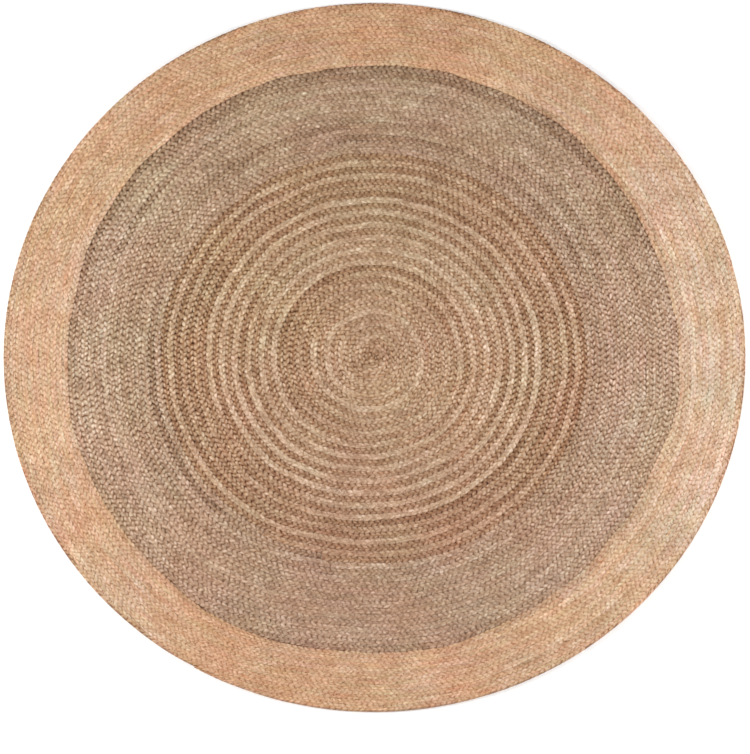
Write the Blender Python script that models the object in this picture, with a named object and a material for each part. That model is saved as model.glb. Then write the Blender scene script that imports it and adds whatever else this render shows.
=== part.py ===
"""Round jute rug: three flat coils of plaited braid, sewn edge to edge.

The rug lies flat on z = 0 with its centre at the origin. Every row of braid is a
raised rib on the top face. The rows are nearly round, and step inwards in one
short stretch of each turn, where the coil passes its own start.
"""

import math

import bmesh
import bpy

# Driving sizes, in metres and degrees.
RUG_RADIUS = 0.600
BRAID_HEIGHT = 0.0080  # crest of a row
GROOVE_HEIGHT = 0.0055  # bottom of the groove between two rows
EYE_HEIGHT = 0.0068
SEAM_GAP = 0.0003
CENTRE_RADIUS = 0.3465
CENTRE_ROWS = 33
FIELD_ROWS = 14
BORDER_ROWS = 11
COLUMNS = 48  # steps round the rug
WIDTH_POINTS = 2  # steps across a row: its groove and its crest
FULL_TURN = 360.0

# The stretch of each turn in which the rows step inwards.
STEP_ANGLE = 247.5
STEP_LENGTH = 0.300
TWO_BRAIDS = 2  # rows that the coil steps by in each turn, as two braids run side by side
ONE_BRAID = 1

# The seam between the field and the border, as the sewing left it: (angle, radius).
SEAM_COURSE = (
    (0.0, 0.4892),
    (20.0, 0.4888),
    (45.0, 0.4950),
    (80.0, 0.4980),
    (150.0, 0.4995),
    (215.0, 0.4985),
    (262.0, 0.4998),
    (292.0, 0.4990),
    (328.0, 0.4915),
)
# Where the field's two braids end, the seam swells: start, top and end angles.
SWELL_ANGLES = (226.0, 238.0, 262.0)
SWELL_DEPTH = 0.0125
SWELL_ROWS = 2  # rows that the swell has room for

# The rounded rim, from the outermost row down to the floor: (inset, height).
RIM_PROFILE = ((0.0014, 0.0063), (0.0, 0.0040), (0.0020, 0.0))

SNAP = 0.3  # a groove or crest this near an edge, in rows, runs into it
MERGE = 0.00001
SHARP_ANGLE = 35.0  # grooves and crests are sharper than this, and the steps round a row are not

# Sub-part, colour, roughness.
FINISHES = {
    "centre_coil": ((0.45, 0.28, 0.175), 0.92),
    "field_coil": ((0.46, 0.305, 0.21), 0.94),
    "border_coil": ((0.64, 0.41, 0.255), 0.90),
}


def ease(share):
    """A smooth step from 0 to 1."""
    share = min(max(share, 0.0), 1.0)
    return share * share * (3.0 - 2.0 * share)


def seam_course(angle):
    """The seam's radius at an angle, without the swell."""
    angle %= FULL_TURN
    points = (*SEAM_COURSE, (FULL_TURN, SEAM_COURSE[0][1]))
    for (start, low), (end, high) in zip(points, points[1:]):
        if angle <= end:
            return low + (high - low) * ease((angle - start) / (end - start))
    return points[-1][1]


def seam_radius(angle):
    """The seam's radius at an angle, with the swell."""
    start, top, end = SWELL_ANGLES
    angle %= FULL_TURN
    rise = ease((angle - start) / (top - start))
    fall = ease((angle - top) / (end - top))
    return seam_course(angle) + SWELL_DEPTH * (rise - fall)


def field_edge(angle):
    return seam_radius(angle) - SEAM_GAP / 2


def border_edge(angle):
    return seam_radius(angle) + SEAM_GAP / 2


def stepped(row, angle, rows_stepped):
    """The row that a braid lies in at an angle, if it began the turn in this one."""
    radius = max(row, 1.0) * CENTRE_RADIUS / CENTRE_ROWS
    span = min(math.degrees(STEP_LENGTH / radius), FULL_TURN)
    return row - rows_stepped * ease((angle - STEP_ANGLE) / span + 0.5)


def centre_row(row, angle):
    return stepped(row, angle, TWO_BRAIDS) * CENTRE_RADIUS / CENTRE_ROWS


def field_row(row, angle):
    width = (seam_course(angle) - CENTRE_RADIUS) / FIELD_ROWS
    passed = stepped(CENTRE_ROWS + row, angle, TWO_BRAIDS) - CENTRE_ROWS
    return CENTRE_RADIUS + passed * width


def border_row(row, angle):
    width = (RUG_RADIUS - seam_radius(angle)) / BORDER_ROWS
    inner_rows = CENTRE_ROWS + FIELD_ROWS
    passed = stepped(inner_rows + row, angle, ONE_BRAID) - inner_rows
    return seam_radius(angle) + passed * width


def ribbed_top(bm, rows, more_rows, row_radius, inner, outer):
    """A sheet of ribs between two edges, which are functions of the angle."""
    rings = WIDTH_POINTS * (rows + more_rows)
    grid = bmesh.ops.create_grid(bm, x_segments=COLUMNS, y_segments=rings, size=0.5)
    first_angle = STEP_ANGLE - FULL_TURN / 2
    snap = SNAP * CENTRE_RADIUS / CENTRE_ROWS
    for vertex in grid["verts"]:
        angle = first_angle + FULL_TURN * (vertex.co.x + 0.5)
        ring = round((vertex.co.y + 0.5) * rings)
        low, high = inner(angle), outer(angle)
        radius = row_radius(ring / WIDTH_POINTS, angle)
        height = BRAID_HEIGHT if ring % WIDTH_POINTS else GROOVE_HEIGHT
        if radius < low + snap:
            radius = low
            height = GROOVE_HEIGHT if low else EYE_HEIGHT
        elif radius > high - snap:
            radius = high
            height = GROOVE_HEIGHT
        turn = math.radians(angle)
        vertex.co = (radius * math.cos(turn), radius * math.sin(turn), height)
    bmesh.ops.remove_doubles(bm, verts=bm.verts[:], dist=MERGE)


def open_edges(bm):
    return [edge for edge in bm.edges if edge.is_boundary]


def on_circle(edge, radius):
    return all(abs(vertex.co.xy.length - radius) < MERGE for vertex in edge.verts)


def skirt(bm, edges, inset, height):
    """Carries open edges on to a height, drawn in towards the centre by inset."""
    made = bmesh.ops.extrude_edge_only(bm, edges=edges)["geom"]
    for vertex in (item for item in made if isinstance(item, bmesh.types.BMVert)):
        radius = math.hypot(vertex.co.x, vertex.co.y)
        vertex.co *= 1.0 - inset / radius
        vertex.co.z = height
    return [item for item in made if isinstance(item, bmesh.types.BMEdge)]


def close_underside(bm):
    """Fills the open edges on the floor with one flat face, or a flat ring."""
    edges = open_edges(bm)
    loops = 2 if len(edges) > COLUMNS else 1
    if loops == 2:
        bmesh.ops.bridge_loops(bm, edges=edges)
    else:
        bmesh.ops.edgeloop_fill(bm, edges=edges)


def finish(name):
    colour, roughness = FINISHES[name]
    material = bpy.data.materials.new(name + "_jute")
    material.use_nodes = True
    shader = material.node_tree.nodes["Principled BSDF"]
    shader.inputs["Base Color"].default_value = (*colour, 1.0)
    shader.inputs["Roughness"].default_value = roughness
    shader.inputs["Metallic"].default_value = 0.0
    return material


def add_part(name, bm, collection):
    bmesh.ops.recalc_face_normals(bm, faces=bm.faces[:])
    mesh = bpy.data.meshes.new(name)
    bm.to_mesh(mesh)
    bm.free()
    mesh.shade_smooth()
    mesh.set_sharp_from_angle(angle=math.radians(SHARP_ANGLE))
    mesh.materials.append(finish(name))
    collection.objects.link(bpy.data.objects.new(name, mesh))


def centre_coil(collection):
    bm = bmesh.new()
    edge = CENTRE_RADIUS - SEAM_GAP / 2
    ribbed_top(bm, CENTRE_ROWS, TWO_BRAIDS, centre_row, lambda angle: 0.0, lambda angle: edge)
    skirt(bm, open_edges(bm), 0.0, 0.0)
    close_underside(bm)
    add_part("centre_coil", bm, collection)


def field_coil(collection):
    bm = bmesh.new()
    edge = CENTRE_RADIUS + SEAM_GAP / 2
    rows_added = TWO_BRAIDS + SWELL_ROWS
    ribbed_top(bm, FIELD_ROWS, rows_added, field_row, lambda angle: edge, field_edge)
    skirt(bm, open_edges(bm), 0.0, 0.0)
    close_underside(bm)
    add_part("field_coil", bm, collection)


def border_coil(collection):
    bm = bmesh.new()
    rim_inset, rim_height = RIM_PROFILE[0]
    rim = RUG_RADIUS - rim_inset
    ribbed_top(bm, BORDER_ROWS, ONE_BRAID, border_row, border_edge, lambda angle: rim)
    rim_edges = [edge for edge in open_edges(bm) if on_circle(edge, rim)]
    inner_edges = [edge for edge in open_edges(bm) if not on_circle(edge, rim)]
    for vertex in {vertex for edge in rim_edges for vertex in edge.verts}:
        vertex.co.z = rim_height
    reached = rim_inset
    for inset, height in RIM_PROFILE[1:]:
        rim_edges = skirt(bm, rim_edges, inset - reached, height)
        reached = inset
    skirt(bm, inner_edges, 0.0, 0.0)
    close_underside(bm)
    add_part("border_coil", bm, collection)


def main():
    for item in list(bpy.data.objects):
        bpy.data.objects.remove(item, do_unlink=True)
    collection = bpy.data.collections.new("round_jute_rug")
    bpy.context.scene.collection.children.link(collection)
    centre_coil(collection)
    field_coil(collection)
    border_coil(collection)


main()
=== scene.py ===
# A round jute rug: plaited jute braids, coiled flat and sewn edge to edge.
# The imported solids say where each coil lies, and this script lays the plaits in their place.
# Lengths are in metres and angles in degrees, from the camera's right towards the back.
import math

import bmesh
import bpy
import numpy as np
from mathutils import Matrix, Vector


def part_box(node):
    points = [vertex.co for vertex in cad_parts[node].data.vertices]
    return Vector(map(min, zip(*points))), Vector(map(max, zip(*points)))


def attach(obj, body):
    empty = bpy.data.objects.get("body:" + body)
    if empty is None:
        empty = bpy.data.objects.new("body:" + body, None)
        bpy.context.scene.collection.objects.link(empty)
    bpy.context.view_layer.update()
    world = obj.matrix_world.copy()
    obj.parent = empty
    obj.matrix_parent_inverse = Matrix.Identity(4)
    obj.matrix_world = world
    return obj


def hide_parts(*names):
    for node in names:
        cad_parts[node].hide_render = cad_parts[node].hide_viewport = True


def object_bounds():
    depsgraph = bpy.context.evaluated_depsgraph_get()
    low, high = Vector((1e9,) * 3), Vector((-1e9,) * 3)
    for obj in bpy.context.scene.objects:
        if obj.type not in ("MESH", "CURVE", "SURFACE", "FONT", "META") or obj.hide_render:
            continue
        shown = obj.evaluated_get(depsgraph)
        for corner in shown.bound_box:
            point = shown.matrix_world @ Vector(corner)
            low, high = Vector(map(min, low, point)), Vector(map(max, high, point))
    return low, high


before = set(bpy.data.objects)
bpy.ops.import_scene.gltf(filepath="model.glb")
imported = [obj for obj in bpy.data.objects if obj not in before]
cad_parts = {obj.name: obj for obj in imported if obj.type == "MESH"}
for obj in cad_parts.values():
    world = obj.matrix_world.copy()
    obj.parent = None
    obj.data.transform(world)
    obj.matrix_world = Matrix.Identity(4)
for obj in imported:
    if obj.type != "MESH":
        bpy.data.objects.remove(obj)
solidLow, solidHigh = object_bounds()
centreLow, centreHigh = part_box("centre_coil")

fullTurn = 360.0

rug = {
    "radius": (solidHigh[0] - solidLow[0]) / 2,
    "height": solidHigh[2] - solidLow[2],
    "seamGap": 0.0003,  # between two pieces
    "centreRows": 33,
    "fieldRows": 14,
    "borderRows": 11,
    "innerBraids": 2,  # run side by side in the centre and the field
    "borderBraids": 1,
    "innermost": 0.0007,  # how near the middle the braids begin
    "borderJoint": 0.5,  # where the border's two pieces meet, as a share of its path
    # each turn is nearly round, and steps inwards in one short stretch
    "turnStart": 67.5,  # opposite that stretch
    "stepAngle": 247.5,  # its middle
    "stepLength": 0.300,
    # the seam between the field and the border, as the sewing left it: (angle, radius)
    "seamCourse": (
        *((0.0, 0.4925), (20.0, 0.4865), (42.0, 0.4915), (50.0, 0.4960), (60.0, 0.4945)),
        *((80.0, 0.4960), (92.0, 0.4935), (110.0, 0.4970), (130.0, 0.4970), (152.0, 0.4990)),
        *((170.0, 0.4955), (183.0, 0.4965), (192.0, 0.5010), (228.0, 0.5030), (239.0, 0.4975)),
        *((253.0, 0.5020), (286.0, 0.5030), (297.0, 0.4965), (335.0, 0.4885), (352.0, 0.4960)),
    ),
    # where the field's two braids end, the seam swells: start, top and end angles
    "swellAngles": (226.0, 238.0, 262.0),
    "swellDepth": 0.0125,
}
rug["centreRadius"] = (centreHigh[0] - centreLow[0] + rug["seamGap"]) / 2

# where each run of random numbers starts
seeds = {
    "field": 10,  # for its dark braid, and the next number for its pale one
    "centre": 20,
    "borderOuter": 30,
    "borderInner": 31,
    "straysX": 11,  # for the larger strays, and the next number for the smaller ones
    "straysY": 21,
    "lumps": 31,
    "darkSeamAndRimShade": 41,
}

view = {
    "pictureWidth": 750,
    "pictureHeight": 754,
    "rugWidth": 741.4,  # in pixels, as is the place below
    "rugCentre": (374.5, 357.6),
    "elevation": 72.5,  # above the floor
    "distance": 8.0,
}


def addCamera():
    metresPerPixel = 2 * rug["radius"] / view["rugWidth"]
    tilt = math.radians(view["elevation"])
    toCamera = np.array((0.0, -math.cos(tilt), math.sin(tilt)))
    right = np.array((1.0, 0.0, 0.0))
    up = np.array((0.0, math.sin(tilt), math.cos(tilt)))
    rightPixels = view["pictureWidth"] / 2 - view["rugCentre"][0]
    upPixels = view["rugCentre"][1] - view["pictureHeight"] / 2
    rugMiddle = np.array((0.0, 0.0, rug["height"] / 2))
    aim = rugMiddle + metresPerPixel * (rightPixels * right + upPixels * up)
    data = bpy.data.cameras.new("camera")
    data.type = "ORTHO"
    data.sensor_fit = "HORIZONTAL"
    data.ortho_scale = view["pictureWidth"] * metresPerPixel
    camera = bpy.data.objects.new("camera", data)
    camera.location = aim + view["distance"] * toCamera
    camera.rotation_euler = (math.pi / 2 - tilt, 0.0, 0.0)
    bpy.context.scene.collection.objects.link(camera)
    bpy.context.scene.camera = camera


# a node's output, with sums and products of numbers written as Python
class Socket:
    def __init__(self, maker, link):
        self.maker = maker
        self.link = link

    def math(self, operation, first, second):
        return self.maker.node("ShaderNodeMath", {"operation": operation}, {0: first, 1: second})

    def __add__(self, other):
        return self.math("ADD", self, other)

    __radd__ = __add__

    def __sub__(self, other):
        return self.math("SUBTRACT", self, other)

    def __rsub__(self, other):
        return self.math("SUBTRACT", other, self)

    def __mul__(self, other):
        return self.math("MULTIPLY", self, other)

    __rmul__ = __mul__

    def __truediv__(self, other):
        return self.math("DIVIDE", self, other)

    def __rtruediv__(self, other):
        return self.math("DIVIDE", other, self)

    def atMost(self, limit):
        return self.math("MINIMUM", self, limit)

    def atLeast(self, limit):
        return self.math("MAXIMUM", self, limit)

    # 1 where the value is under a limit, or else 0
    def below(self, limit):
        return self.math("LESS_THAN", self, limit)


class MaterialMaker:
    def __init__(self, name):
        self.material = bpy.data.materials.new(name)
        self.material.use_nodes = True
        self.tree = self.material.node_tree
        self.shader = self.tree.nodes["Principled BSDF"]

    # one node, with its settings made first, and the output that is asked for
    def node(self, kind, settings=None, inputs=None, output=0):
        made = self.tree.nodes.new(kind)
        for key, value in (settings or {}).items():
            setattr(made, key, value)
        for key, value in (inputs or {}).items():
            self.feed(made.inputs[key], value)
        return Socket(self, made.outputs[output])

    def feed(self, target, value):
        if isinstance(value, Socket):
            self.tree.links.new(value.link, target)
        else:
            target.default_value = value

    def attribute(self, name, output="Fac"):
        return self.node("ShaderNodeAttribute", {"attribute_name": name}, output=output)

    def split(self, vector):
        first = self.node("ShaderNodeSeparateXYZ", inputs={0: vector})
        return [Socket(self, output) for output in first.link.node.outputs]

    def vector(self, x=0.0, y=0.0, z=0.0):
        return self.node("ShaderNodeCombineXYZ", inputs={0: x, 1: y, 2: z})

    # a colour times one number
    def scaled(self, colour, factor):
        return self.node("ShaderNodeVectorMath", {"operation": "SCALE"}, {0: colour, 3: factor})

    # a colour times another
    def multiplied(self, colour, other):
        return self.node("ShaderNodeVectorMath", {"operation": "MULTIPLY"}, {0: colour, 1: other})

    # from the first colour to the second
    def mix(self, factor, first, second):
        settings = {"data_type": "RGBA"}
        return self.node("ShaderNodeMix", settings, {0: factor, 6: first, 7: second}, output=2)

    # noise, which is mostly between 0.25 and 0.75, stretched to about -1 to 1
    def noise(self, place, scale, detail, dimensions="3D"):
        key = "W" if dimensions == "1D" else "Vector"
        inputs = {key: place, "Scale": scale, "Detail": detail}
        made = self.node("ShaderNodeTexNoise", {"noise_dimensions": dimensions}, inputs)
        middle = 0.5
        stretch = 4.0
        return stretch * (made - middle)


# a smooth step from 0 to 1
def ease(share):
    share = np.clip(share, 0.0, 1.0)
    return share * share * (3.0 - 2.0 * share)


# the seam's radius at an angle, without the swell
def seamCourse(angle):
    course = np.array(rug["seamCourse"])
    angles = np.append(course[:, 0], fullTurn)
    radii = np.append(course[:, 1], course[0, 1])
    angle = np.mod(angle, fullTurn)
    last = np.clip(np.searchsorted(angles, angle, side="right") - 1, 0, len(course) - 1)
    share = (angle - angles[last]) / (angles[last + 1] - angles[last])
    return radii[last] + (radii[last + 1] - radii[last]) * ease(share)


def seamRadius(angle):
    start, top, end = rug["swellAngles"]
    turned = np.mod(angle, fullTurn)
    rise = ease((turned - start) / (top - start))
    fall = ease((turned - top) / (end - top))
    return seamCourse(angle) + rug["swellDepth"] * (rise - fall)


# the row that a braid lies in at an angle, if it began the turn in this one
def stepped(row, angle, rowsStepped):
    radius = np.maximum(row, 1.0) * rug["centreRadius"] / rug["centreRows"]
    span = np.minimum(np.degrees(rug["stepLength"] / radius), fullTurn)
    return row - rowsStepped * ease((angle - rug["stepAngle"]) / span + 0.5)


# the outer edge of a row in the centre or the field
def innerRadius(row, angle):
    passed = stepped(row, angle, rug["innerBraids"])
    centreWidth = rug["centreRadius"] / rug["centreRows"]
    fieldWidth = (seamCourse(angle) - rug["centreRadius"]) / rug["fieldRows"]
    beyond = rug["centreRadius"] + (passed - rug["centreRows"]) * fieldWidth
    return np.where(passed < rug["centreRows"], passed * centreWidth, beyond)


# the outer edge of a row in the border
def borderRadius(row, angle):
    rowsInside = rug["centreRows"] + rug["fieldRows"]
    width = (rug["radius"] - seamRadius(angle)) / rug["borderRows"]
    passed = stepped(row, angle, rug["borderBraids"]) - rowsInside
    return seamRadius(angle) + passed * width


# how near the middle of the rug, and how far out, a braid of the centre and the field may lie
def innerEdges(angle):
    return np.full_like(angle, rug["innermost"]), seamRadius(angle) - rug["seamGap"] / 2


# and a braid of the border
def borderEdges(angle):
    return seamRadius(angle) + rug["seamGap"] / 2, np.full_like(angle, rug["radius"])


plait = {
    "pitch": 0.0094,  # from one stitch to the next on the same side
    "looseWidth": 0.0130,  # of the braid before it is sewn
    "strands": 3,  # every third stitch is of the same one
    "columns": 4,  # steps to a stitch
    "chevron": 0.0026,  # how far a stitch runs on along the braid, from the edge to the middle
    "underChevrons": 2.0,  # how far back the stitches run below, in chevrons
    "fullChevron": 6,  # how far from the middle of the rug it gets its full size, in chevrons
    "pinch": 0.12,  # how far the groove between stitches is closed from each side, in stitches
    # points round the braid, from its left edge over the top and back below:
    # across, height on a stitch, height in the groove between two
    "section": (
        (-1.0, 0.95, 0.46),
        (-0.78, 1.0, 0.50),
        (-0.42, 0.98, 0.66),
        (0.0, 0.92, 0.80),
        (0.42, 0.98, 0.66),
        (0.78, 1.0, 0.50),
        (1.0, 0.95, 0.46),
        (0.95, 0.03, 0.03),
        (0.0, 0.0, 0.0),
        (-0.95, 0.03, 0.03),
    ),
    "topFaces": 6,
    "rise": (0.0, 0.7, 1.0, 0.7),  # the height of each step above the groove, as a share
    "middleRise": 0.55,  # and that of the middle line
    "bulge": 0.0005,  # how far each stitch presses past the edge, into its neighbour's groove
    "eyeBulge": 0.0018,  # how much further they press where the coil begins, to leave no hole
    "eyeRadius": 0.014,  # where that begins
    "notch": 0.28,  # how far the edge draws in at a groove, as a share of half the width
    "notchSlope": 2.27,  # how fast the notch grows towards the edge
    "sway": 0.12,  # how far the middle line zigzags, towards each groove
    "paleShallowerLessShaded": 1.8,  # how much shallower the grooves get for each unit of paler tone
    "sidesOpenerAndShade": 0.22,  # how much deeper they are to the left and right than at front and back
    "seamOpener": 0.3,  # how much deeper they are in the rows beside the seam
    "besideSeam": 0.004,  # how far from it
    "unevenHeight": 0.08,  # from stitch to stitch
    "unevenPlace": 0.09,  # in stitches
    "mostUneven": 2.0,  # in standard deviations
    "stretch": (0.0013, 0.060),  # the stitches crowd and spread: by how much, over what length
    "pathStep": 0.2,  # between the fine points of a braid's path
    "leastWidth": 0.0014,  # of a braid's tapered end
    "fullHeight": 0.6,  # a braid that is narrower than this, in stitches, is lower too
    "leastHeight": 0.25,  # as a share
    "endShare": 0.94,  # size of the braid just before its closed end
    "endSquare": 0.93,  # how close to its end that is, in steps
    "endHeight": 0.45,  # where the end closes, as a share of the height
    "straightEnd": 0.020,  # the stretch at an end in which the stitches turn square
    "weld": 0.000005,  # points that are this near are one
    "mapStrips": 24,  # that the braid is cut into for baking
    "mapMargin": 0.05,  # of a strip, along its sides
    "mapEndMargin": 0.002,  # of a strip, at its ends
    "topShare": 0.8,  # of a strip
}

# how the rows stray from a perfect coil, as the sewing left them
sewing = {
    "strays": ((0.0011, 0.120), (0.0005, 0.034)),  # distance, size of a stray
    "steadyFrom": 0.50,  # from this radius outwards the strays fade
    "steadied": 0.90,  # by this share at the rim
    # how far outwards the rings lie from true at each angle
    "driftAngles": (0, 30, 60, 90, 120, 150, 180, 210, 240, 270, 300, 330, 360),
    "drifts": (
        *(-0.0022, -0.0042, -0.0025, -0.0010, -0.0005, 0.0013),
        *(0.0, 0.0, 0.0020, 0.0036, 0.0024, 0.0006, -0.0022),
    ),
    "driftFades": (0.0, 0.10, 0.37, 0.47),  # radii where it begins, is full, fades and ends
    "lumps": (0.03, 0.07),  # how much the height differs, as a share, over what length
}

# the darker line along the seam between field and border, and painted shade along the rim, where
# its outer side falls away
darkSeamAndRimShade = {
    "seamWidth": 0.0065,  # on either side
    "seamShares": (1.0, 0.45),  # on the field's side and the border's
    "sideSeam": 0.5,  # how much of it is left at the far left and right
    "leastSeam": 0.25,  # and in the front half
    "rimWidth": 0.007,
    "rimShare": 0.9,
    "rimFade": 4.0,  # how fast it sets in on either side of the front, where there is none
    "uneven": 0.6,  # how much it differs from place to place
    "stretch": 0.11,  # over what length
}

# a darker slanted oval where the coil begins
eye = {
    "place": (-0.0078, 0.0050),
    "turn": 118.0,
    "halfLength": 0.028,
    "halfWidth": 0.013,
    "tone": -0.32,  # how much darker it is
}


# a smooth field of swells about this size across, mostly between -1 and 1
def wander(x, y, size, seed):
    random = np.random.default_rng(seed)
    total = np.zeros_like(x)
    waves = 7
    slowest, fastest = 0.55, 1.35
    for wave in range(waves):
        heading = random.uniform(0.0, math.tau)
        phase = random.uniform(0.0, math.tau)
        rate = math.tau / size * random.uniform(slowest, fastest)
        total += np.sin((x * math.cos(heading) + y * math.sin(heading)) * rate + phase)
    return total / math.sqrt(waves)


# how plain the line along the seam is at an angle: it fades towards the front
def seamLine(angle):
    return np.clip(darkSeamAndRimShade["sideSeam"] + np.sin(np.radians(angle)), darkSeamAndRimShade["leastSeam"], 1.0)


# how plain the darker line along the seam, and the painted shade along the rim, are at a point
def seamDarkRimShadeAt(x, y, radius, angle):
    fromSeam = seamRadius(np.degrees(angle)) - radius
    atSeam = np.clip(1.0 - np.abs(fromSeam) / darkSeamAndRimShade["seamWidth"], 0.0, 1.0)
    atSeam = atSeam * np.where(fromSeam > 0, *darkSeamAndRimShade["seamShares"]) * seamLine(np.degrees(angle))
    # painted shade along the rim, where its outer side falls away; there is none at the front
    rimShadeHere = np.clip(1.0 - (rug["radius"] - radius) / darkSeamAndRimShade["rimWidth"], 0.0, 1.0)
    offFront = np.clip(darkSeamAndRimShade["rimFade"] * (1.0 + np.sin(angle)), 0.0, 1.0)
    uneven = darkSeamAndRimShade["uneven"] * wander(x, y, darkSeamAndRimShade["stretch"], seeds["darkSeamAndRimShade"])
    return (atSeam + rimShadeHere * darkSeamAndRimShade["rimShare"] * offFront) * (1.0 + uneven)


# the tone that the darker oval adds at a point
def eyeTone(x, y):
    right = x - eye["place"][0]
    back = y - eye["place"][1]
    turn = math.radians(eye["turn"])
    along = right * math.cos(turn) + back * math.sin(turn)
    across = back * math.cos(turn) - right * math.sin(turn)
    inside = 1.0 - np.hypot(along / eye["halfLength"], across / eye["halfWidth"])
    return eye["tone"] * ease(inside)


# where the sewing left a point of a perfect coil
def strayed(x, y, radius, angle):
    steady = ease((radius - sewing["steadyFrom"]) / (rug["radius"] - sewing["steadyFrom"]))
    loose = 1.0 - sewing["steadied"] * steady
    strayX = x.copy()
    strayY = y.copy()
    for number, (distance, size) in enumerate(sewing["strays"]):
        strayX += loose * distance * wander(x, y, size, seeds["straysX"] + number)
        strayY += loose * distance * wander(x, y, size, seeds["straysY"] + number)
    drift = np.interp(np.degrees(angle) % fullTurn, sewing["driftAngles"], sewing["drifts"])
    begins, full, fades, ends = sewing["driftFades"]
    drift = drift * ease((radius - begins) / (full - begins))
    drift = drift * ease((ends - radius) / (ends - fades))
    return strayX + drift * np.cos(angle), strayY + drift * np.sin(angle)


# fine points along a braid: the angle turned, both edges, the length so far and the row
def braidPath(braid):
    turned = np.arange(0.0, braid["turns"] * fullTurn, plait["pathStep"])
    turn = np.floor(turned / fullTurn)
    angle = rug["turnStart"] + turned - turn * fullTurn
    row = braid["firstRow"] - braid["rowsStepped"] * turn
    low, high = braid["edges"](angle)
    inner = np.clip(braid["radius"](row - 1, angle), low, high)
    outer = np.clip(braid["radius"](row, angle), low, high)
    middle = (inner + outer) / 2
    steps = np.hypot(np.diff(middle), middle[1:] * np.radians(np.diff(turned)))
    return {
        "turned": turned,
        "inner": inner,
        "outer": outer,
        "length": np.append(0.0, np.cumsum(steps)),
        "row": stepped(row - 0.5, angle, braid["rowsStepped"]),
        "there": outer - inner > plait["leastWidth"],
    }


# the tone of a braid along its length: one for each turn, which changes where the rows step,
# and arcs of a turn
def toneAlong(turned, tones, arcs):
    turns = turned / fullTurn - 0.5  # from the middle of the first step
    change = 0.02  # of a turn, on either side
    places = [number + share for number in range(len(tones)) for share in (change, 1.0 - change)]
    tone = np.interp(turns, places, np.repeat(tones, 2))
    for start, end, depth in arcs:
        tone = tone + depth * ease((turns - start) / change) * ease((end - turns) / change)
    return tone


# a flat grid, with its columns along the braid and its points round it
def unrolledBraid(name, columns, points):
    bm = bmesh.new()
    bmesh.ops.create_grid(bm, x_segments=columns, y_segments=points, size=0.5)
    mesh = bpy.data.meshes.new(name)
    bm.to_mesh(mesh)
    bm.free()
    grid = np.empty(len(mesh.vertices) * 3)
    mesh.vertices.foreach_get("co", grid)
    grid = grid.reshape(-1, 3)
    column = np.rint((grid[:, 0] + 0.5) * columns).astype(int)
    point = np.rint((grid[:, 1] + 0.5) * points).astype(int)
    return mesh, column, point


# the number of the stitch at a column: even ones are on the left side and odd ones on the right
def stitchAt(column, onRight):
    perStitch = plait["columns"]
    leftStitch = 2 * (column // perStitch)
    rightStitch = 2 * ((column + perStitch // 2) // perStitch) - 1
    return np.where(onRight, rightStitch, leftStitch)


# how deep the grooves between stitches are along a braid
def grooveDepth(braid, tone, inner, outer, angle):
    depth = braid["depth"] * (1.0 - plait["paleShallowerLessShaded"] * tone)
    depth = depth * (1.0 + plait["sidesOpenerAndShade"] * np.cos(2 * np.radians(angle)))
    seam = seamRadius(angle)
    toSeam = np.minimum(np.abs(outer - seam), np.abs(inner - seam))
    grooveBoost = plait["seamOpener"] * seamLine(angle)
    return depth * (1.0 + grooveBoost * ease(1.0 - toSeam / plait["besideSeam"]))


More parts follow.
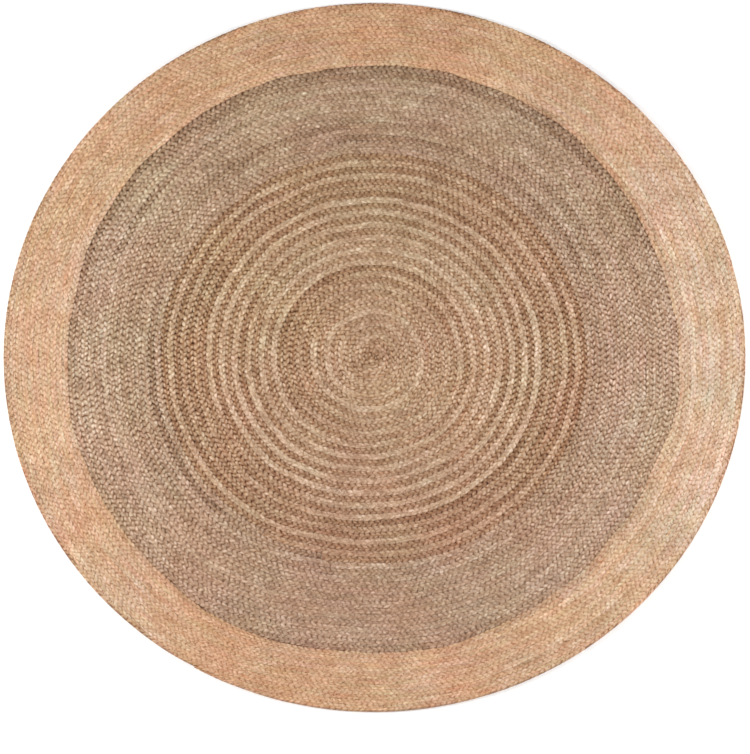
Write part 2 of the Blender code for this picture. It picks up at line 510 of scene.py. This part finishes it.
# a plaited braid along part of a path, as one closed mesh, and its length
def layBraid(name, braid, path, start, end, seed):
    random = np.random.default_rng(seed)
    perStitch = plait["columns"]
    first = path["length"][start] + rug["seamGap"] / 2
    last = path["length"][end] - rug["seamGap"] / 2
    stitches = round((last - first) / plait["pitch"])
    columns = stitches * perStitch
    columnStep = (last - first) / columns
    points = len(plait["section"])
    mesh, column, point = unrolledBraid(name, columns, points)
    across, stitchHeight, grooveHeight = np.array(plait["section"])[point % points].T
    side = np.sign(across)
    under = point % points > plait["topFaces"]

    # left and right stitches lie half a stitch apart; a groove is at step 0 of each
    leftStep = column % perStitch
    rightStep = (column + perStitch // 2) % perStitch
    step = np.where(side > 0, rightStep, leftStep)
    halfStitch = perStitch / 2
    crest = 1.0 - np.abs(step - halfStitch) / halfStitch
    relief = np.where(side == 0, plait["middleRise"], np.array(plait["rise"])[step])
    pinch = np.where(step == 1, -1.0, np.where(step == perStitch - 1, 1.0, 0.0))
    pinch = np.where((side == 0) | under, 0.0, pinch) * plait["pinch"] * plait["pitch"]

    # each stitch is a little higher or lower, and further on or back, than the next
    stitch = stitchAt(column, side > 0)
    most = plait["mostUneven"]
    draws = 2 * stitches + 4  # enough for both sides and both ends
    unevenHeight = np.clip(random.normal(size=draws), -most, most)[stitch]
    unevenPlace = np.clip(random.normal(size=draws), -most, most)[stitch]
    unevenHeight = plait["unevenHeight"] * unevenHeight
    unevenPlace = plait["unevenPlace"] * unevenPlace

    # where each point lies along the braid, before and after the chevron
    fromEnd = np.minimum(column, columns - column)
    straight = column * columnStep
    square = ease(fromEnd * columnStep / plait["straightEnd"])
    middle = np.interp(first + straight, path["length"], (path["inner"] + path["outer"]) / 2)
    tight = np.clip(middle / (plait["fullChevron"] * plait["chevron"]), 0.0, 1.0)
    below = np.abs(across) - plait["underChevrons"]
    forward = plait["chevron"] * np.where(under, below, 1.0 - np.abs(across)) * square * tight
    along = straight + forward + square * (pinch + unevenPlace * crest * plait["pitch"])
    crowding, crowdingSize = plait["stretch"]
    along = along + square * crowding * wander(straight, 0.0 * straight, crowdingSize, seed)
    nose = np.where(fromEnd == 1, plait["endSquare"] * columnStep, 0.0)
    along = along - np.where(column < columns / 2, nose, -nose)

    # the path there, and how wide and deep the plait is
    turned = np.interp(first + along, path["length"], path["turned"])
    tone = toneAlong(turned, braid["tones"], braid["arcs"])
    inner = np.interp(turned, path["turned"], path["inner"])
    outer = np.interp(turned, path["turned"], path["outer"])
    depth = grooveDepth(braid, tone, inner, outer, rug["turnStart"] + turned)
    crowded = np.clip(1.0 - outer / plait["eyeRadius"], 0.0, 1.0)
    halfWidth = (outer - inner) / 2 + plait["bulge"] + plait["eyeBulge"] * crowded

    # each point's place across the braid: the middle zigzags and the edges draw in at a groove
    leaning = (leftStep - 1.0) * (leftStep % 2 == 0)  # -1 at a left groove, 1 at a right one
    swayed = np.where(under, 0.0, plait["sway"]) * leaning
    across = np.where(side == 0, swayed, across)
    slope = plait["notchSlope"]
    notched = np.where(under, 0.0, np.clip(slope * np.abs(across) - (slope - 1.0), 0.0, 1.0))
    across = across * (1.0 - depth * plait["notch"] * notched * (1.0 - relief))

    # radius and height, drawn together at the ends
    scale = np.where(fromEnd == 0, 0.0, np.where(fromEnd == 1, plait["endShare"], 1.0))
    radius = (inner + outer) / 2 + halfWidth * scale * across
    height = stitchHeight - depth * ((stitchHeight - grooveHeight) * (1.0 - relief))
    height = height + np.where(under, 0.0, unevenHeight * crest)
    height = plait["endHeight"] + (height - plait["endHeight"]) * scale
    narrow = 2 * halfWidth / (plait["fullHeight"] * plait["pitch"])
    height = rug["height"] * np.clip(narrow, plait["leastHeight"], 1.0) * height

    angle = np.radians(rug["turnStart"] + turned)
    x = radius * np.cos(angle)
    y = radius * np.sin(angle)
    lumps, lumpSize = sewing["lumps"]
    height = height * (1.0 + lumps * wander(x, y, lumpSize, seeds["lumps"]))
    places = np.stack((*strayed(x, y, radius, angle), height), axis=1)
    mesh.vertices.foreach_set("co", places.ravel())

    # what the jute's material reads: point by point, and then face by face
    mark(mesh, "plaitPlace", "POINT", np.stack((first + straight, across, relief), axis=1))
    mark(mesh, "ringTone", "POINT", tone + eyeTone(x, y))
    mark(mesh, "darkSeamAndRimShade", "POINT", seamDarkRimShadeAt(x, y, radius, angle))
    corners = np.empty(len(mesh.loops), dtype=int)
    mesh.loops.foreach_get("vertex_index", corners)
    cornerColumn = column[corners].reshape(-1, 4)
    cornerPoint = point[corners].reshape(-1, 4)
    topMiddle = plait["topFaces"] // 2
    underMiddle = (plait["topFaces"] + points) // 2
    facePoint = cornerPoint.min(axis=1)
    onRight = (facePoint >= topMiddle) & (facePoint < underMiddle)
    stitch = stitchAt(cornerColumn.min(axis=1), onRight)
    strand = stitch % plait["strands"]
    mark(mesh, "stitch", "FACE", np.stack((stitch, strand, np.full_like(stitch, seed)), axis=1))
    addBakeMap(mesh, columns, cornerColumn, cornerPoint)

    closeBraid(mesh)
    piece = bpy.data.objects.new(name, mesh)
    bpy.context.scene.collection.objects.link(piece)
    return piece, last - first


# values on a mesh, which a material reads by their name
def mark(mesh, name, domain, values):
    kind, key = ("FLOAT", "value") if values.ndim == 1 else ("FLOAT_VECTOR", "vector")
    data = mesh.attributes.new(name, kind, domain).data
    data.foreach_set(key, values.ravel().astype(float))


# the map for baking: strips of braid, each with its underside along one edge
def addBakeMap(mesh, columns, cornerColumn, cornerPoint):
    strips = plait["mapStrips"]
    stripColumns = math.ceil(columns / strips)
    strip = (cornerColumn.min(axis=1) // stripColumns)[:, None]
    endMargin = plait["mapEndMargin"]
    u = (cornerColumn - strip * stripColumns) / stripColumns
    u = endMargin + (1.0 - 2 * endMargin) * u
    topFaces = plait["topFaces"]
    topShare = plait["topShare"]
    topPart = cornerPoint / topFaces * topShare
    underPart = (cornerPoint - topFaces) / (len(plait["section"]) - topFaces)
    underPart = topShare + underPart * (1.0 - topShare)
    margin = plait["mapMargin"]
    v = np.where(cornerPoint <= topFaces, topPart, underPart)
    v = (strip + margin + (1.0 - 2 * margin) * v) / strips
    corners = np.stack((u.ravel(), v.ravel()), axis=1)
    mesh.uv_layers.new(name="OFBake").data.foreach_set("uv", corners.ravel())


# joins the grid's two long edges and closes its ends
def closeBraid(mesh):
    bm = bmesh.new()
    bm.from_mesh(mesh)
    bmesh.ops.remove_doubles(bm, verts=bm.verts[:], dist=plait["weld"])
    bmesh.ops.recalc_face_normals(bm, faces=bm.faces[:])
    bm.to_mesh(mesh)
    bm.free()
    mesh.shade_smooth()


# The jute of each coil. Its tones are slow, along a braid and in patches, and fast, by strand,
# stitch and fibre. As a tone falls the colour gets deeper, as well as darker.
# It also carries painted shade in the grooves and along the rim, and painted sheen on the left and
# right.
jute = {
    "centre": {
        "colour": (0.524, 0.361, 0.237),  # the top of a pale stitch
        "depthPerTone": 1.25,  # how much deeper the colour gets as a slow tone falls
        "ringDepth": 0.52,  # and as a ring's tone falls
        "ringShade": 0.10,  # how much darker it gets then
        "grooves": (1.3, -0.06),  # painted shade: how much deeper and darker the colour is in the grooves
        "richness": 0.14,  # how much richer and paler it gets in patches and streaks
        "slowTone": 0.9,
        "fastTone": 1.0,
        "sheenSweep": 0.25,  # painted sheen: how much paler the left and right are than the front and back
        "slope": (0.05, 0.03),  # tone gained for each metre to the right, and to the back
        "paintedSheenSides": (0.08, 0.04),  # painted sheen: how much shallower and lighter the left and right are
        "sidesOpenerAndShade": 0.35,  # painted shade: how much darker the grooves are there
        "greener": 0.8,  # how much greener it gets for each metre towards the green side
        "hueStreaks": 0.15,
        "patches": 0.02,
        "streaks": 0.16,
        "russetFrom": 1.35,  # noise over this is a russet streak
        "specks": "fineSpeck",  # the noise that they come from
        "speckBelow": -1.35,  # under this it is a dark speck
    },
    "field": {
        "colour": (0.510, 0.362, 0.253),
        "depthPerTone": 1.2,
        "ringDepth": 0.45,
        "ringShade": 0.30,
        "grooves": (1.15, 0.0),
        "richness": 0.15,
        "slowTone": 1.0,
        "fastTone": 1.0,
        "sheenSweep": 0.28,
        "slope": (0.03, -0.01),
        "paintedSheenSides": (0.075, 0.035),
        "sidesOpenerAndShade": 0.35,
        "greener": 0.33,
        "hueStreaks": 0.15,
        "patches": 0.02,
        "streaks": 0.16,
        "russetFrom": 1.45,
        "specks": "fineSpeck",
        "speckBelow": -1.35,
    },
    "border": {
        "colour": (0.659, 0.440, 0.287),
        "depthPerTone": 1.9,
        "ringDepth": 0.2,
        "ringShade": 0.8,
        "grooves": (0.68, 0.10),
        "richness": 0.22,
        "slowTone": 0.9,
        "fastTone": 0.66,
        "sheenSweep": 0.26,
        "slope": (0.10, -0.03),
        "paintedSheenSides": (0.0, -0.012),
        "sidesOpenerAndShade": 0.0,
        "greener": 0.1,
        "hueStreaks": 0.5,
        "patches": 0.028,
        "streaks": 0.30,
        "russetFrom": 1.2,
        "specks": "coarseSpeck",
        "speckBelow": -0.92,
    },
    "greenTurn": 120.0,  # the angle of the greenest side
    "pink": (1.035, 0.955, 1.02),
    "green": (0.965, 1.045, 0.98),
    "middleHue": 0.5,  # from 0, pink, to 1, green
    "leastDepth": 0.60,  # of the colour, where it is palest
    "fastDepth": 0.62,  # how much deeper the colour gets as a fast tone falls
    "fastShade": 0.50,  # how much darker
    "mostGrooveShade": 1.5,  # how much stronger a dark ring's painted groove shade gets, at most
    "pitUneven": 0.80,  # how much the painted groove shade differs from place to place
    "paleShallowerLessShaded": 2.2,  # how much weaker the painted groove shade gets for each unit of paler tone
    "rowEdgeShade": 0.30,  # how much painted groove shade there is all along a row's edge, between the rows
    "middleBlur": 0.001,  # at the middle of the rug, which has no left and right
    "edgeSpecks": 0.7,  # how many more specks there are at the seam and the rim
    "edgeDepth": 0.12,  # how much deeper the colour is there, at the seam and in the painted shade along the rim
    "edgeShade": 0.06,
    "speckDepth": 0.7,  # how much deeper in colour a speck is
    "speckShade": 0.30,  # how much darker
    "russet": (1.06, 0.84, 0.72),
    "roughness": 0.62,
    "specular": 0.5,
    "bump": (0.5, 0.0003),  # strength, height of a fibre
}

# the noises in the jute of every coil
jutePatterns = {
    # along the whole braid: rate for each metre, detail, how far apart the braids lie in it
    "alongBraid": {
        "tone": (0.9, 3.0, 53.1),
        "clump": (22.0, 1.0, 17.9),
        "strand": (9.0, 1.0, 31.7),
        "hue": (8.0, 2.0, 3.1),
    },
    "strandsApart": 7.3,  # how far apart the three strands lie in theirs
    # over the rug: rate for each metre, detail
    "overRug": {
        "tone": (7.0, 2.0),
        "smallTone": (16.0, 2.0),
        "mottle": (38.0, 1.0),
        "rich": (8.7, 4.0),
        "hue": (6.0, 4.0),
    },
    # along the strands: rate along, rate across, layer, detail
    "alongStrands": {
        "fibre": (900.0, 6.0, 0.0, 2.0),
        "grain": (280.0, 1.5, 0.0, 2.0),
        "rich": (14.0, 1.0, 3.0, 2.0),
        "streak": (26.0, 1.3, 4.0, 2.0),
        "fineSpeck": (430.0, 2.4, 5.0, 0.0),
        "coarseSpeck": (300.0, 1.7, 5.0, 0.0),
        "russet": (45.0, 1.5, 6.0, 0.0),
        "dash": (130.0, 3.5, 7.0, 1.0),
        "hue": (20.0, 0.8, 8.0, 2.0),
        "pit": (150.0, 0.8, 9.0, 1.0),
    },
    # how strongly they show
    "shares": {
        "braidTone": 0.09,
        "patchTone": 0.07,
        "clump": 0.08,
        "strand": 0.08,
        "stitch": 0.26,
        "mottle": 0.07,
        "fibre": 0.05,
        "grain": 0.40,
        "dash": 0.26,
        "richPatch": 0.6,
        "richStreak": 0.5,
        "patchHue": 0.35,
        "braidHue": 0.22,
    },
}


def juteMaterial(name, finish):
    maker = MaterialMaker(name)
    along, across, relief = maker.split(maker.attribute("plaitPlace", "Vector"))
    stitch, strand, braid = maker.split(maker.attribute("stitch", "Vector"))
    ringTone = maker.attribute("ringTone")
    seamDarkRimShadeHere = maker.attribute("darkSeamAndRimShade")
    place = maker.node("ShaderNodeTexCoord", output="Object")
    x, y = maker.split(place)[:2]
    sideways = x * x - y * y
    side = sideways / (x * x + y * y + jute["middleBlur"])
    share = jutePatterns["shares"]

    def alongBraid(pattern, start=along):
        rate, detail, apart = jutePatterns["alongBraid"][pattern]
        return maker.noise(start + apart * braid, rate, detail, "1D")

    def overRug(pattern):
        rate, detail = jutePatterns["overRug"][pattern]
        return maker.noise(place, rate, detail)

    def alongStrands(pattern):
        rateAlong, rateAcross, layer, detail = jutePatterns["alongStrands"][pattern]
        drawnOut = maker.vector(rateAlong * along, rateAcross * across, layer)
        return maker.noise(drawnOut, 1.0, detail)

    # tones that change slowly: along a braid and in patches
    slow = share["braidTone"] * alongBraid("tone") + share["patchTone"] * overRug("tone")
    slow = slow + share["clump"] * alongBraid("clump") + finish["patches"] * overRug("smallTone")
    right, back = finish["slope"]
    # painted sheen: the left and right are paler than the front and back
    slow = finish["slowTone"] * slow + finish["sheenSweep"] * sideways + right * x + back * y

    # each strand keeps its own tone for a hand's width, and each stitch differs a little
    strandTone = alongBraid("strand", along + jutePatterns["strandsApart"] * strand)
    whichStitch = {"Vector": maker.vector(stitch, braid)}
    dice = maker.node("ShaderNodeTexWhiteNoise", {"noise_dimensions": "2D"}, whichStitch, output=1)
    stitchTone = maker.split(dice)[0] - 0.5  # -0.5 to 0.5
    fibre = alongStrands("fibre")
    fast = share["strand"] * strandTone + share["stitch"] * stitchTone
    fast = fast + share["mottle"] * overRug("mottle") + share["fibre"] * fibre
    fast = fast + share["grain"] * alongStrands("grain")
    fast = fast + finish["streaks"] * alongStrands("streak") + share["dash"] * alongStrands("dash")
    fast = finish["fastTone"] * fast
    speckNoise = alongStrands(finish["specks"]) - jute["edgeSpecks"] * seamDarkRimShadeHere
    speck = speckNoise.below(finish["speckBelow"])
    russet = 1.0 - alongStrands("russet").below(finish["russetFrom"])

    # painted shade in the grooves: darkest in the dark rings, and differing from place to place
    grooveBoost = (1.0 - jute["paleShallowerLessShaded"] * ringTone).atMost(jute["mostGrooveShade"])
    paintedGrooveShade = (1.0 - relief) * (1.0 + jute["pitUneven"] * alongStrands("pit")) * grooveBoost
    # painted shade along the edge of each row
    paintedGrooveShade = paintedGrooveShade + jute["rowEdgeShade"] * (across * across * across * across)
    # painted shade: the grooves are darker to the left and right
    paintedGrooveShade = paintedGrooveShade * (1.0 + finish["sidesOpenerAndShade"] * side)

    # in patches and streaks the jute is richer in colour, and no darker for it
    rich = share["richPatch"] * overRug("rich") + share["richStreak"] * alongStrands("rich")
    rich = finish["richness"] * rich

    # a darker tone is a deeper colour, as more jute is seen through
    # painted sheen: the left and right are shallower in colour and lighter
    sheenShallower, sheenLighter = finish["paintedSheenSides"]
    pitDepth, pitShade = finish["grooves"]
    depth = 1.0 - finish["depthPerTone"] * slow - jute["fastDepth"] * fast
    depth = depth - finish["ringDepth"] * ringTone
    # painted shade in the grooves deepens the colour here
    depth = depth + pitDepth * paintedGrooveShade + jute["speckDepth"] * speck - sheenShallower * side
    # the darker seam line, and painted shade along the rim, deepen the colour
    depth = (depth + jute["edgeDepth"] * seamDarkRimShadeHere + rich).atLeast(jute["leastDepth"])
    colour = maker.node("ShaderNodeGamma", inputs={0: (*finish["colour"], 1.0), 1: depth})

    # hue strays in patches and along the braid
    greenward = math.radians(jute["greenTurn"])
    greener = finish["greener"] * (math.cos(greenward) * x + math.sin(greenward) * y)
    hue = jute["middleHue"] + share["patchHue"] * overRug("hue")
    hue = hue + share["braidHue"] * alongBraid("hue")
    hue = hue + finish["hueStreaks"] * alongStrands("hue") + greener
    tint = maker.mix(hue, (*jute["pink"], 1.0), (*jute["green"], 1.0))
    colour = maker.multiplied(colour, tint)
    colour = maker.mix(russet, colour, maker.multiplied(colour, jute["russet"]))

    shade = 1.0 + jute["fastShade"] * fast + finish["ringShade"] * ringTone
    # painted shade in the grooves darkens the colour here
    shade = shade * (1.0 - pitShade * paintedGrooveShade) * (1.0 - jute["speckShade"] * speck)
    # painted sheen lightens the left and right here, and the darker seam line and painted rim
    # shade darken it
    shade = shade * (1.0 + sheenLighter * side) * (1.0 - jute["edgeShade"] * seamDarkRimShadeHere)
    shade = shade * (1.0 + rich)
    maker.feed(maker.shader.inputs["Base Color"], maker.scaled(colour, shade))
    maker.shader.inputs["Roughness"].default_value = jute["roughness"]
    maker.shader.inputs["Specular IOR Level"].default_value = jute["specular"]
    strength, distance = jute["bump"]
    fibreBump = {"Strength": strength, "Distance": distance, "Height": fibre}
    bump = maker.node("ShaderNodeBump", inputs=fibreBump)
    maker.feed(maker.shader.inputs["Normal"], bump)
    return maker.material


# Tones are the rings of the rug, one for each turn of a braid from its outer end inwards.
# Arcs are shorter stretches that are darker or paler: (first turn, last turn, tone added).
darkBraid = {
    "firstRow": 49,
    "rowsStepped": rug["innerBraids"],
    "turns": 25,
    "radius": innerRadius,
    "edges": innerEdges,
    "depth": 0.66,  # of the grooves between stitches
    "tones": (
        *(-0.10, 0.04, 0.01, 0.04, -0.02, -0.01, -0.05, -0.34, -0.34, -0.28, -0.32, -0.28),
        *(-0.21, -0.17, -0.08, -0.08, -0.16, -0.15, -0.12, -0.03, 0.02, 0.01, -0.02, -0.02, -0.02),
    ),
    "arcs": (
        *((0.12, 0.38, 0.10), (0.38, 0.80, -0.07), (0.76, 0.98, 0.10), (2.63, 2.76, -0.18)),
        *((3.84, 3.95, 0.13), (4.37, 4.48, -0.13), (5.12, 5.25, -0.12), (5.50, 5.62, 0.10)),
        *((6.78, 6.95, -0.28), (7.87, 7.98, 0.15), (9.27, 9.50, 0.15), (10.01, 10.24, -0.42)),
        *((10.27, 10.48, 0.11), (10.78, 10.93, 0.22), (11.68, 11.90, 0.10), (12.65, 12.87, 0.12)),
        *((15.23, 15.45, 0.12), (16.42, 16.78, -0.42), (17.10, 17.38, 0.13), (18.18, 18.46, 0.15)),
        *((13.29, 13.50, 0.09), (13.92, 14.02, -0.18), (20.06, 20.17, -0.15)),
    ),
}
paleBraid = {
    "firstRow": 48,
    "rowsStepped": rug["innerBraids"],
    "turns": 24,
    "radius": innerRadius,
    "edges": innerEdges,
    "depth": 0.66,
    "tones": (
        *(0.0, 0.06, 0.11, 0.05, -0.02, 0.0, 0.02, 0.11, 0.10, -0.01, 0.21, 0.18),
        *(0.17, 0.17, 0.17, 0.18, 0.08, 0.09, 0.03, 0.22, 0.10, 0.08, 0.0, -0.02),
    ),
    "arcs": (
        *((0.37, 0.70, -0.11), (0.42, 0.54, -0.16), (2.28, 2.50, -0.12), (5.37, 5.60, -0.20)),
        *((5.68, 5.82, 0.10), (7.36, 7.58, -0.17), (7.88, 8.10, 0.12), (8.18, 8.28, -0.15)),
        *((8.30, 8.44, 0.08), (8.76, 8.98, -0.13), (10.86, 11.0, -0.24), (12.84, 13.0, 0.10)),
        *((13.83, 13.97, 0.12), (16.26, 16.40, 0.16), (16.61, 16.88, -0.13), (18.76, 19.0, 0.14)),
        *((4.57, 4.69, -0.12), (6.17, 6.28, -0.12), (14.12, 14.33, -0.10), (22.30, 22.65, 0.10)),
    ),
}
borderBraid = {
    "firstRow": 59,
    "rowsStepped": rug["borderBraids"],
    "turns": 12,
    "radius": borderRadius,
    "edges": borderEdges,
    "depth": 0.40,
    "tones": (0.0, 0.02, -0.01, 0.0, -0.01, -0.01, -0.03, 0.0, 0.01, 0.02, -0.04, -0.08),
    "arcs": (
        *((0.74, 0.88, -0.09), (1.12, 1.24, -0.08), (1.28, 1.44, -0.06), (1.76, 1.90, -0.08)),
        *((2.12, 2.24, -0.08), (9.15, 9.41, -0.10), (10.12, 10.26, -0.12), (10.47, 10.73, 0.10)),
    ),
}


# the stretches of a path before and after a joint, where the braid is there at all
def eitherSideOf(joint, path):
    there = np.flatnonzero(path["there"])
    return (there[0], joint), (joint, there[-1])


def addBraid(name, braid, path, ends, seed, zone, material):
    piece, length = layBraid(name, braid, path, *ends, seed)
    piece.data.materials.append(material)
    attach(piece, "root")
    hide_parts(zone + "_coil")
    print(f"{name}: {length:.1f} m of braid, {2 * len(piece.data.polygons)} triangles")


# the dark and the pale braid, each cut in two where the field meets the centre
def addInnerBraids():
    fieldJute = juteMaterial("fieldJute", jute["field"])
    centreJute = juteMaterial("centreJute", jute["centre"])
    for number, (title, braid) in enumerate((("Dark", darkBraid), ("Pale", paleBraid))):
        path = braidPath(braid)
        joint = np.flatnonzero(path["row"] < rug["centreRows"])[0]
        outside, inside = eitherSideOf(joint, path)
        fieldSeed = seeds["field"] + number
        centreSeed = seeds["centre"] + number
        addBraid("field" + title + "Braid", braid, path, outside, fieldSeed, "field", fieldJute)
        addBraid("centre" + title + "Braid", braid, path, inside, centreSeed, "centre", centreJute)


# the border's one braid, in two pieces so that neither has too many triangles
def addBorderBraid():
    borderJute = juteMaterial("borderJute", jute["border"])
    path = braidPath(borderBraid)
    joint = np.searchsorted(path["length"], path["length"][-1] * rug["borderJoint"])
    outside, inside = eitherSideOf(joint, path)
    for title, ends in (("Outer", outside), ("Inner", inside)):
        seed = seeds["border" + title]
        addBraid("border" + title + "Braid", borderBraid, path, ends, seed, "border", borderJute)


studio = {
    "floorSize": 14.0,
    "floorColour": (0.93, 0.93, 0.93),
    "floorRoughness": 0.8,
    "floorGlow": 0.16,  # lifts the shadow round the rim, as on a lit table
    "skyStrength": 0.36,
    # place, size, power
    "lamps": (
        ((-2.8, -0.25, 1.76), 1.1, 96.0),
        ((2.8, -0.35, 1.76), 1.1, 81.0),
    ),
}
white = (1.0, 1.0, 1.0, 1.0)


def addFloor():
    bm = bmesh.new()
    bmesh.ops.create_grid(bm, x_segments=1, y_segments=1, size=studio["floorSize"] / 2)
    mesh = bpy.data.meshes.new("floor")
    bm.to_mesh(mesh)
    bm.free()
    floor = bpy.data.objects.new("floor", mesh)
    bpy.context.scene.collection.objects.link(floor)
    maker = MaterialMaker("floorPaint")
    maker.shader.inputs["Base Color"].default_value = (*studio["floorColour"], 1.0)
    maker.shader.inputs["Roughness"].default_value = studio["floorRoughness"]
    maker.shader.inputs["Emission Color"].default_value = white
    maker.shader.inputs["Emission Strength"].default_value = studio["floorGlow"]
    mesh.materials.append(maker.material)


def addLight():
    world = bpy.data.worlds.new("studio")
    world.use_nodes = True
    background = world.node_tree.nodes["Background"]
    background.inputs["Color"].default_value = white
    background.inputs["Strength"].default_value = studio["skyStrength"]
    bpy.context.scene.world = world
    for number, (place, size, power) in enumerate(studio["lamps"]):
        data = bpy.data.lights.new(f"lamp{number}", "AREA")
        data.size = size
        data.energy = power
        lamp = bpy.data.objects.new(f"lamp{number}", data)
        lamp.location = place
        toRug = -np.array(place)
        tilt = math.atan2(math.hypot(toRug[0], toRug[1]), place[2])
        heading = math.atan2(toRug[1], toRug[0]) - math.pi / 2
        lamp.rotation_euler = (tilt, 0.0, heading)
        bpy.context.scene.collection.objects.link(lamp)
    bpy.context.scene.view_settings.view_transform = "Standard"


addCamera()
print("camera in place")
addInnerBraids()
addBorderBraid()
addFloor()
addLight()
print("floor and lamps in place")
